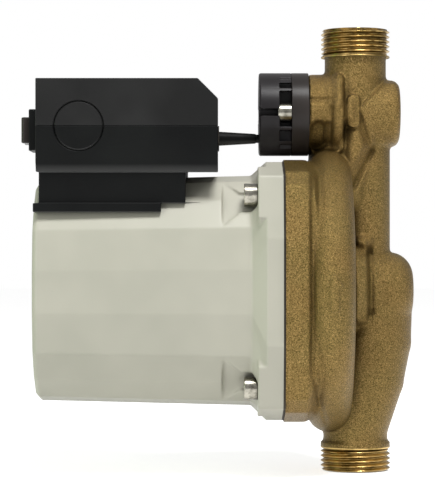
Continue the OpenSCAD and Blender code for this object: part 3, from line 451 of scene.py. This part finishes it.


# Paints, plastics and rubbers by material slot. Bump is in mm, and faces that look down get a lighter
# colour, a painted reflection of the pale floor.
paints = {
    "casing_paint": {
        "name": "casingPaint",
        "light": (0.51, 0.497, 0.418),
        "dark": (0.465, 0.457, 0.382),
        "roughness": 0.42,
        "grainScale": 420.0,
        "bump": 0.03,
        "speck": (0.30, 0.29, 0.24),
    },
    "black_plastic": {
        "name": "boxPlastic",
        "light": (0.0075, 0.0082, 0.008),
        "dark": (0.0045, 0.0048, 0.005),
        "roughness": 0.5,
        "grainScale": 1400.0,
        "bump": 0.04,
        "speck": (0.03, 0.03, 0.03),
        "shine": 0.1,
        # painted reflection of the pale floor on faces that look down
        "paintedFloorLight": (0.075, 0.075, 0.075),
    },
    "gloss_black_plastic": {
        "name": "switchPlastic",
        "light": (0.040, 0.034, 0.031),
        "dark": (0.022, 0.019, 0.018),
        "roughness": 0.32,
        "grainScale": 900.0,
        "bump": 0.01,
        "shine": 0.14,
    },
    "gasket_rubber": {
        "name": "gasketRubber",
        "light": (0.07, 0.06, 0.05),
        "dark": (0.04, 0.035, 0.03),
        "roughness": 0.6,
        "grainScale": 1500.0,
        "bump": 0.02,
        "shine": 0.12,
    },
    "bearing_carbon": {
        "name": "bearingCarbon",
        "light": (0.05, 0.05, 0.052),
        "dark": (0.03, 0.03, 0.032),
        "roughness": 0.5,
        "grainScale": 1500.0,
        "bump": 0.01,
    },
    "lead_insulation": {
        "name": "leadInsulation",
        "light": (0.5, 0.05, 0.03),
        "dark": (0.35, 0.03, 0.02),
        "roughness": 0.45,
        "grainScale": 1200.0,
        "bump": 0.01,
    },
    "impeller_plastic": {
        "name": "impellerPlastic",
        "light": (0.62, 0.52, 0.34),
        "dark": (0.5, 0.41, 0.26),
        "roughness": 0.4,
        "grainScale": 700.0,
        "bump": 0.015,
    },
    "valve_rubber": {
        "name": "valveRubber",
        "light": (0.022, 0.022, 0.022),
        "dark": (0.014, 0.014, 0.014),
        "roughness": 0.6,
        "grainScale": 1100.0,
        "bump": 0.01,
    },
    "float_plastic": {
        "name": "floatPlastic",
        "light": (0.78, 0.76, 0.68),
        "dark": (0.68, 0.66, 0.58),
        "roughness": 0.35,
        "grainScale": 700.0,
        "bump": 0.01,
    },
    "magnet_ferrite": {
        "name": "magnetFerrite",
        "light": (0.07, 0.07, 0.075),
        "dark": (0.04, 0.04, 0.045),
        "roughness": 0.55,
        "grainScale": 1100.0,
        "bump": 0.01,
    },
    "terminal_plastic": {
        "name": "terminalPlastic",
        "light": (0.8, 0.8, 0.76),
        "dark": (0.7, 0.7, 0.66),
        "roughness": 0.4,
        "grainScale": 700.0,
        "bump": 0.01,
    },
    "reed_capsule": {
        "name": "reedCapsule",
        "light": (0.05, 0.3, 0.16),
        "dark": (0.03, 0.2, 0.1),
        "roughness": 0.15,
        "grainScale": 500.0,
        "bump": 0.005,
    },
}
# The lid: a lighter copy of the box plastic, painted light as if lit from above
paintedLitLidPlastic = {
    "name": "paintedLitLidPlastic",
    "light": (0.020, 0.020, 0.020),
    "dark": (0.011, 0.011, 0.011),
    "roughness": 0.5,
    "grainScale": 1400.0,
    "bump": 0.05,
    "speck": (0.05, 0.05, 0.05),
    "shine": 0.16,
}
coverPlastic = {
    "name": "coverPlastic",
    "light": (0.036, 0.033, 0.035),
    "dark": (0.019, 0.017, 0.018),
    "roughness": 0.36,
    "grainScale": 900.0,
    "bump": 0.01,
    "shine": 0.16,
}
paintWear = {
    "fineOverCoarse": 3.1,
    "pits": 150.0,
    "patches": 35.0,
    "patchSpan": (0.35, 0.65),
    # painted shade in corners and recesses: its reach, share and depth
    "paintedShadeReach": 0.003,
    "paintedShadeShare": 0.5,
    "paintedShadeDepth": 0.35,
    "speckShare": 0.25,
    "roughSpread": 0.08,
    # painted reflection of the pale floor: the span of how far down a face looks
    "paintedFloorLightSpan": (-0.25, -0.6),  # how far down a face looks
}


def paintedMaterial(name, light, dark, roughness, grainScale, bump, speck=None, shine=0.3, paintedFloorLight=None):
    material, tree, shader = startMaterial(name)
    place = objectPlace(tree)
    fineScale = grainScale * paintWear["fineOverCoarse"]
    skin = useGroup(tree, grainGroup, Coarse=grainScale, Fine=fineScale, Pits=paintWear["pits"])
    paintedShading = useGroup(tree, paintedShadeGroup, Reach=paintWear["paintedShadeReach"])
    low, high = paintWear["patchSpan"]
    patches = noise(tree, place, paintWear["patches"], detail=2.0)
    colour = ramp(tree, patches, [(low, dark), (high, light)])
    # Painted shade: corners and recesses darkened toward a deeper copy of the dark colour
    shade = math2(tree, "MULTIPLY", paintedShading.outputs["Hollow"], paintWear["paintedShadeShare"])
    colour = mixColour(tree, shade, colour, tuple(paintWear["paintedShadeDepth"] * c for c in dark))
    if speck:
        specks = math2(tree, "MULTIPLY", skin.outputs["Pit"], paintWear["speckShare"])
        colour = mixColour(tree, specks, colour, speck)
    # Painted reflection: faces that look down are lightened as if lit by the pale floor
    if paintedFloorLight:
        facing = tree.nodes.new("ShaderNodeSeparateXYZ")
        tree.links.new(tree.nodes.new("ShaderNodeNewGeometry").outputs["Normal"], facing.inputs[0])
        paintedFloorMask = remap(tree, facing.outputs["Z"], fromSpan=paintWear["paintedFloorLightSpan"])
        colour = mixColour(tree, paintedFloorMask, colour, paintedFloorLight)
    tree.links.new(colour, shader.inputs["Base Color"])
    spread = paintWear["roughSpread"]
    rough = remap(tree, skin.outputs["Mottle"], toSpan=(roughness - spread, roughness + spread))
    tree.links.new(rough, shader.inputs["Roughness"])
    shader.inputs["Specular IOR Level"].default_value = shine
    bumpFrom(tree, shader, skin.outputs["Height"], bump * mm)
    return material


# Bare metals by material slot
metals = {
    "screw_steel": {
        "name": "zincScrews",
        "light": (0.42, 0.40, 0.34),
        "dark": (0.17, 0.16, 0.13),
        "roughness": 0.26,
    },
    "stainless": {
        "name": "stainlessSheet",
        "light": (0.66, 0.66, 0.65),
        "dark": (0.5, 0.5, 0.49),
        "roughness": 0.27,
    },
    "lamination_steel": {
        "name": "statorPlates",
        "light": (0.36, 0.37, 0.39),
        "dark": (0.2, 0.2, 0.22),
        "roughness": 0.45,
        "scale": 700.0,
    },
    "winding_copper": {
        "name": "windingCopper",
        "light": (0.78, 0.38, 0.2),
        "dark": (0.55, 0.24, 0.12),
        "roughness": 0.33,
        "scale": 900.0,
    },
    "brass_turned": {
        "name": "turnedBrass",
        "light": (0.75, 0.55, 0.22),
        "dark": (0.52, 0.37, 0.14),
        "roughness": 0.28,
    },
    "capacitor_can": {
        "name": "capacitorCan",
        "light": (0.7, 0.7, 0.7),
        "dark": (0.52, 0.52, 0.53),
        "roughness": 0.32,
    },
}
metalWear = {
    "patchSpan": (0.35, 0.6),
    # painted shade in corners and recesses
    "paintedShadeReach": 0.0015,
    "paintedShadeDepth": 0.25,
    "bumpOverTone": 3,
    "bump": 0.02,  # mm
}


def metalMaterial(name, light, dark, roughness, scale=400.0):
    material, tree, shader = startMaterial(name)
    place = objectPlace(tree)
    paintedShading = useGroup(tree, paintedShadeGroup, Reach=metalWear["paintedShadeReach"])
    low, high = metalWear["patchSpan"]
    tone = ramp(tree, noise(tree, place, scale, detail=4.0), [(low, dark), (high, light)])
    # Painted shade: corners and recesses darkened toward a deeper copy of the dark colour
    paintedShade = tuple(metalWear["paintedShadeDepth"] * c for c in dark)
    tone = mixColour(tree, paintedShading.outputs["Hollow"], tone, paintedShade)
    tree.links.new(tone, shader.inputs["Base Color"])
    shader.inputs["Metallic"].default_value = 1.0
    shader.inputs["Roughness"].default_value = roughness
    bumpFrom(tree, shader, noise(tree, place, scale * metalWear["bumpOverTone"]), metalWear["bump"] * mm)
    return material


finish = {"cast_bronze": castBronzeMaterial(), "machined": machinedBrassMaterial()}
for slotName, settings in paints.items():
    finish[slotName] = paintedMaterial(**settings)
for slotName, settings in metals.items():
    finish[slotName] = metalMaterial(**settings)
print("finishes ready")


# The bronze casting: the housing's solid as small cells, smoothed into cast fillets. Sizes in mm.
casting = {
    "weld": 0.001,
    "voxel": 0.6,
    "roundPasses": 5,
    "lastPasses": 2,
    "inletEnd": 8.7,
    "outletStart": 157.3,
    "jointFace": -27.8,
    "faceBand": 0.1,  # points this near the joint face lie on it
    "faceOverrun": 3.0,  # the flange is remeshed past its joint face and cut back to a crisp edge
    "flangeOutline": [(49.0, 17.0), (44.0, 38.8), (38.8, 44.0), (17.0, 49.0)],
    "fillet": [(-21.0, 0.985), (-18.8, 0.985)],  # the flange's outline, carried on into the volute
    "filletRound": (-13.5, 49.4),
    "filletPoints": 180,
    "markClear": 3.5,  # marks stay off the middle plane
}
# Raised and pressed forms on both sides, each along a line or inside an outline in X and Z.
# A mark is full within flat of its line and gone at reach.
castMarks = [
    # ring of the switch boss
    {"line": ((-7.2, 122.5), (-7.2, 148.0)), "flat": 1.5, "reach": 2.9, "push": 1.9},
    {"line": ((-8.4, 140.0), (-8.4, 147.0)), "flat": 2.4, "reach": 3.9, "push": 0.9},
    {"line": ((-8.7, 139.5), (-8.7, 150.0)), "flat": 0.1, "reach": 1.5, "push": -0.9},
    # hollow under the boss
    {"line": ((-14.6, 124.4), (-14.6, 129.0)), "flat": 2.2, "reach": 3.6, "push": -3.2},
    {"line": ((-11.0, 124.5), (-11.0, 130.4)), "flat": 0.8, "reach": 1.8, "push": -1.7},
    {"line": ((-17.8, 140.2), (-10.8, 140.2)), "flat": 0.1, "reach": 1.2, "push": -0.9},
    # nub between the boss and the cross tube
    {"line": ((-3.0, 133.8), (-3.0, 137.8)), "flat": 0.2, "reach": 3.4, "push": 1.6},
    # arm of the branch and the crease beside it
    {
        "outline": ((-5.8, 118.0), (-3.0, 107.4), (5.2, 122.6), (1.4, 132.0), (-4.6, 130.0)),
        "reach": 3.4,
        "push": 2.6,
    },
    {"line": ((5.9, 121.4), (-1.2, 107.8)), "flat": 0.2, "reach": 1.6, "push": -1.6},
    # end of the cross tube
    {
        "outline": ((0.2, 137.0), (4.8, 122.9), (20, 122.9), (20, 147.6), (10.4, 147.6)),
        "reach": 1.0,
        "push": 1.3,
    },
    # foot of the volute
    {"line": ((-18.2, 42.4), (-18.2, 109.0)), "flat": 0.1, "reach": 1.3, "push": -0.9},
    {"line": ((-18.2, 41.0), (-15.8, 29.6)), "flat": 0.1, "reach": 1.3, "push": -0.9},
    {"line": ((-15.2, 28.0), (-12.0, 19.0)), "flat": 0.1, "reach": 1.3, "push": -0.7},
    # finger beside the suction nose
    {"line": ((1.3, 58.5), (1.3, 85.5)), "flat": 1.6, "reach": 3.6, "push": 2.6},
    {"line": ((1.2, 87.2), (4.2, 86.9)), "flat": 1.0, "reach": 2.8, "push": 1.6},
    {"line": ((5.0, 60.0), (5.0, 84.0)), "flat": 0.2, "reach": 1.8, "push": -1.3},
]


def lineFade(places, line, flat, reach):
    start, end = (np.array(p) for p in line)
    along = end - start
    place = places - start
    share = np.clip(place @ along / (along @ along), 0, 1)
    away = np.linalg.norm(place - share[:, None] * along, axis=1)
    return np.clip((reach - away) / (reach - flat), 0, 1)


def outlineFade(places, outline, reach):
    fade = 1.0
    corners = [np.array(p) for p in outline]
    for start, end in zip(corners, corners[1:] + corners[:1]):
        inward = np.array((start[1] - end[1], end[0] - start[0])) / np.linalg.norm(end - start)
        fade = np.minimum(fade, np.clip((places - start) @ inward / reach, 0, 1))
    return fade


def pressMarks(obj, marks):
    mesh = obj.data
    points = np.empty(len(mesh.vertices) * 3)
    mesh.vertices.foreach_get("co", points)
    points = points.reshape(-1, 3) / mm
    for mark in marks:
        if "line" in mark:
            fade = lineFade(points[:, [0, 2]], mark["line"], mark["flat"], mark["reach"])
        else:
            fade = outlineFade(points[:, [0, 2]], mark["outline"], mark["reach"])
        fade = fade * fade * (3 - 2 * fade)
        sides = np.where(np.abs(points[:, 1]) > casting["markClear"], np.sign(points[:, 1]), 0)
        points[:, 1] += mark["push"] * fade * sides
    mesh.vertices.foreach_set("co", (points * mm).ravel())
    mesh.update()


def addFillet(bm):
    corners = []
    for x, share in casting["fillet"]:
        for y, z in casting["flangeOutline"]:
            corners += [(x, share * y * a, share * z * b) for a in (-1, 1) for b in (-1, 1)]
    x, radius = casting["filletRound"]
    for k in range(casting["filletPoints"]):
        turn = 2 * math.pi * k / casting["filletPoints"]
        corners.append((x, radius * math.cos(turn), radius * math.sin(turn)))
    verts = [bm.verts.new((x * mm, y * mm, (axisZ + z) * mm)) for x, y, z in corners]
    hull = bmesh.ops.convex_hull(bm, input=verts)
    bmesh.ops.delete(bm, geom=hull["geom_interior"], context="VERTS")


def buildCasting():
    bm = bmesh.new()
    bm.from_mesh(frame["nodes"]["pump_housing"].data)
    bmesh.ops.remove_doubles(bm, verts=bm.verts, dist=casting["weld"] * mm)
    for vert in bm.verts:
        if vert.co.x < (casting["jointFace"] + casting["faceBand"]) * mm:
            vert.co.x -= casting["faceOverrun"] * mm
    addFillet(bm)
    body = linkNew("bronzeCasting", bm)
    voxelForm(body, casting["voxel"])
    relax(body, casting["roundPasses"])
    pressMarks(body, castMarks)
    relax(body, casting["lastPasses"])
    cutAway(body, [
        ((0, 0, casting["inletEnd"]), (0, 0, -1), False),
        ((0, 0, casting["outletStart"]), (0, 0, 1), False),
        ((casting["jointFace"], 0, 0), (-1, 0, 0), True),
    ])
    print("casting", len(body.data.polygons), "faces")
    return body


motorCasing = {
    "weld": 0.001,
    "voxel": 0.5,
    "roundPasses": 3,
    "jointFace": -28.6,
    "faceBand": 0.1,
    "faceOverrun": 3.0,
}


def buildMotorCasing():
    bm = bmesh.new()
    bm.from_mesh(frame["nodes"]["motor_casing"].data)
    bmesh.ops.remove_doubles(bm, verts=bm.verts, dist=motorCasing["weld"] * mm)
    for vert in bm.verts:
        if vert.co.x > (motorCasing["jointFace"] - motorCasing["faceBand"]) * mm:
            vert.co.x += motorCasing["faceOverrun"] * mm
    shell = linkNew("motorCasing", bm)
    voxelForm(shell, motorCasing["voxel"])
    relax(shell, motorCasing["roundPasses"])
    return cutAway(shell, [((motorCasing["jointFace"], 0, 0), (1, 0, 0), True)])


# Raised arrow on the volute: half of its outline across and up, in mm from its centre
flowArrow = {
    "halfOutline": [(1.45, -6.9), (1.45, 2.3), (2.75, 2.3)],
    "tip": 6.9,
    "centreX": -10.5,
    "front": -54.25,
    "depth": 3.0,
    "soft": 0.22,
    "segments": 2,
}


def buildArrow():
    half = flowArrow["halfOutline"]
    outline = half + [(0, flowArrow["tip"])] + [(-x, z) for x, z in half[::-1]]
    bm = bmesh.new()
    rows = []
    for y in (flowArrow["front"], flowArrow["front"] + flowArrow["depth"]):
        rows.append([
            bm.verts.new(((flowArrow["centreX"] + x) * mm, y * mm, (axisZ + z) * mm)) for x, z in outline
        ])
    bm.faces.new(rows[0])
    bm.faces.new(rows[1][::-1])
    for k in range(len(outline)):
        n = (k + 1) % len(outline)
        bm.faces.new((rows[0][n], rows[0][k], rows[1][k], rows[1][n]))
    bmesh.ops.recalc_face_normals(bm, faces=bm.faces)
    arrow = linkNew("flowArrow", bm)
    bevel = arrow.modifiers.new("edges", "BEVEL")
    bevel.width = flowArrow["soft"] * mm
    bevel.segments = flowArrow["segments"]
    applyModifiers(arrow)
    bm = bmesh.new()
    bm.from_mesh(arrow.data)
    shadeByAngle(bm)
    bm.to_mesh(arrow.data)
    bm.free()
    return arrow


# Helical port threads in mm. Rise and flat are shares of half a pitch, runOut of a pitch.
thread = {
    "depth": 1.16,
    "pitch": 1.814,
    "chamfer": 0.9,
    "rootFlat": 0.12,
    "rise": 0.78,
    "runOut": 0.6,
    "boreChamfer": 0.5,
    "faceLip": 0.05,
    "shoulder": [(-0.25, 0.0), (0.0, 0.25), (0.0, 0.6)],  # out from the crest, and past the thread
    "perTurn": 128,
    "perPitch": 14,
}
inletThread = {"z0": 0, "up": 1, "length": 8.5, "crest": 13.22, "bore": 9.0, "boreEnd": 14.45}
outletThread = {"z0": portSpan, "up": -1, "length": 10.0, "crest": 13.04, "bore": 8.8, "boreEnd": 22.5}


def threadRadius(along, turn, length, crest):
    phase = (along / thread["pitch"] - turn) % 1.0
    ridge = 1 - abs(2 * phase - 1)
    ridge = min(1.0, max(0.0, (ridge - thread["rootFlat"]) / thread["rise"]))
    root = crest - thread["depth"]
    radius = min(root + thread["depth"] * ridge, crest - thread["chamfer"] + along)
    fade = min(1.0, max(0.0, (length - along) / (thread["runOut"] * thread["pitch"])))
    return root + (radius - root) * fade if radius > root else radius


def portEnd(name, z0, up, length, crest, bore, boreEnd):
    bm = bmesh.new()
    around = thread["perTurn"]
    steps = int(round(length / thread["pitch"] * thread["perPitch"]))
    edge = thread["boreChamfer"]
    rings = [(bore, boreEnd), (bore, edge), (bore + edge, 0.0)]
    rings.append((crest - thread["chamfer"] - thread["faceLip"], 0.0))
    rows = [[ring] * around for ring in rings]
    for i in range(steps + 1):
        along = length * i / steps
        rows.append([(threadRadius(along, up * k / around, length, crest), along) for k in range(around)])
    rows += [[(crest + out, length + past)] * around for out, past in thread["shoulder"]]
    grid = []
    for row in rows:
        grid.append([
            bm.verts.new((
                r * mm * math.cos(2 * math.pi * k / around),
                r * mm * math.sin(2 * math.pi * k / around),
                (z0 + up * along) * mm,
            ))
            for k, (r, along) in enumerate(row)
        ])
    for a, b in zip(grid, grid[1:]):
        for k in range(around):
            n = (k + 1) % around
            bm.faces.new((a[k], a[n], b[n], b[k]))
    bmesh.ops.recalc_face_normals(bm, faces=bm.faces)
    shadeByAngle(bm)
    return linkNew(name, bm)


standIn(buildCasting(), "cast_bronze", finish["cast_bronze"], "pump_housing")
standIn(buildMotorCasing(), "casing_paint", finish["casing_paint"], "motor_casing")
standIn(buildArrow(), "cast_bronze", finish["cast_bronze"], "pump_housing")
standIn(portEnd("inletThread", **inletThread), "cast_bronze", finish["machined"], "pump_housing")
standIn(portEnd("outletThread", **outletThread), "cast_bronze", finish["machined"], "pump_housing")
print("housing ready")


# Pieces that keep the CAD's shape and get rounded edges: node, name and radius in mm
roundedPieces = [
    ("terminal_base", "terminalBase", 0.35),
    ("terminal_lid", "terminalLid", 0.35),
    ("rocker_frame", "rockerFrame", 0.4),
    ("rocker", "rockerPaddle", 0.5),
    ("gland_body", "glandBody", 0.3),
    ("gland_nut", "glandNut", 0.4),
    ("flow_switch_base", "flowSwitchBase", 0.3),
    ("flow_switch_cover", "flowSwitchCover", 0.3),
    ("flow_switch_screws", "flowSwitchScrews", 0.25),
    ("casing_screws", "casingScrews", 0.25),
    ("lid_screws", "lidScrews", 0.2),
    ("vent_screw", "ventScrew", 0.3),
    ("lead_grommet", "leadGrommet", 0.2),
    ("flow_switch_lead", "flowSwitchLead", 0.1),
]
rounding = {
    "weld": 0.002,  # mm
    "flat": 0.3,  # folds below this are flattened, degrees
    "soft": 30,
    "sharp": 32,
    "segments": 2,
}
ownFinish = {
    "flow_switch_base": finish["gloss_black_plastic"],
    "flow_switch_lead": finish["black_plastic"],
    # the lid's plastic is painted lighter as if lit from above
    "terminal_lid": paintedMaterial(**paintedLitLidPlastic),
    "flow_switch_cover": paintedMaterial(**coverPlastic),
}


def softCopy(node, name, radius):
    bm = bmesh.new()
    bm.from_mesh(frame["nodes"][node].data)
    bmesh.ops.remove_doubles(bm, verts=bm.verts, dist=rounding["weld"] * mm)
    bmesh.ops.dissolve_limit(
        bm,
        angle_limit=math.radians(rounding["flat"]),
        use_dissolve_boundaries=False,
        verts=bm.verts,
        edges=bm.edges,
    )
    for face in bm.faces:
        face.smooth = True
    for edge in bm.edges:
        fold = math.degrees(edge.calc_face_angle(0)) if len(edge.link_faces) == 2 else 0
        edge.smooth = fold < rounding["soft"] or fold >= rounding["sharp"]
    made = linkNew(name, bm)
    bevel = made.modifiers.new("edges", "BEVEL")
    bevel.width = radius * mm
    bevel.segments = rounding["segments"]
    bevel.limit_method = "ANGLE"
    bevel.angle_limit = math.radians(rounding["sharp"])
    bevel.use_clamp_overlap = False
    bevel.miter_outer = "MITER_ARC"
    flats = made.modifiers.new("flats", "WEIGHTED_NORMAL")
    flats.mode = "FACE_AREA"
    flats.keep_sharp = True
    return applyModifiers(made)


slotOf = {row["node"]: row["material_slot"] for row in frame["record"]["subparts"]}
bodyOf = {node: name for name, nodes in frame["record"]["behaviour"]["bodies"].items() for node in nodes}
for node, name, radius in roundedPieces:
    slotName = slotOf[node]
    material = ownFinish.get(node, finish[slotName])
    standIn(softCopy(node, name, radius), slotName, material, node, body=bodyOf[node])
print("rounded pieces ready")

for node, obj in frame["nodes"].items():
    if not obj.hide_render:
        paint(obj, finish[slotOf[node]])
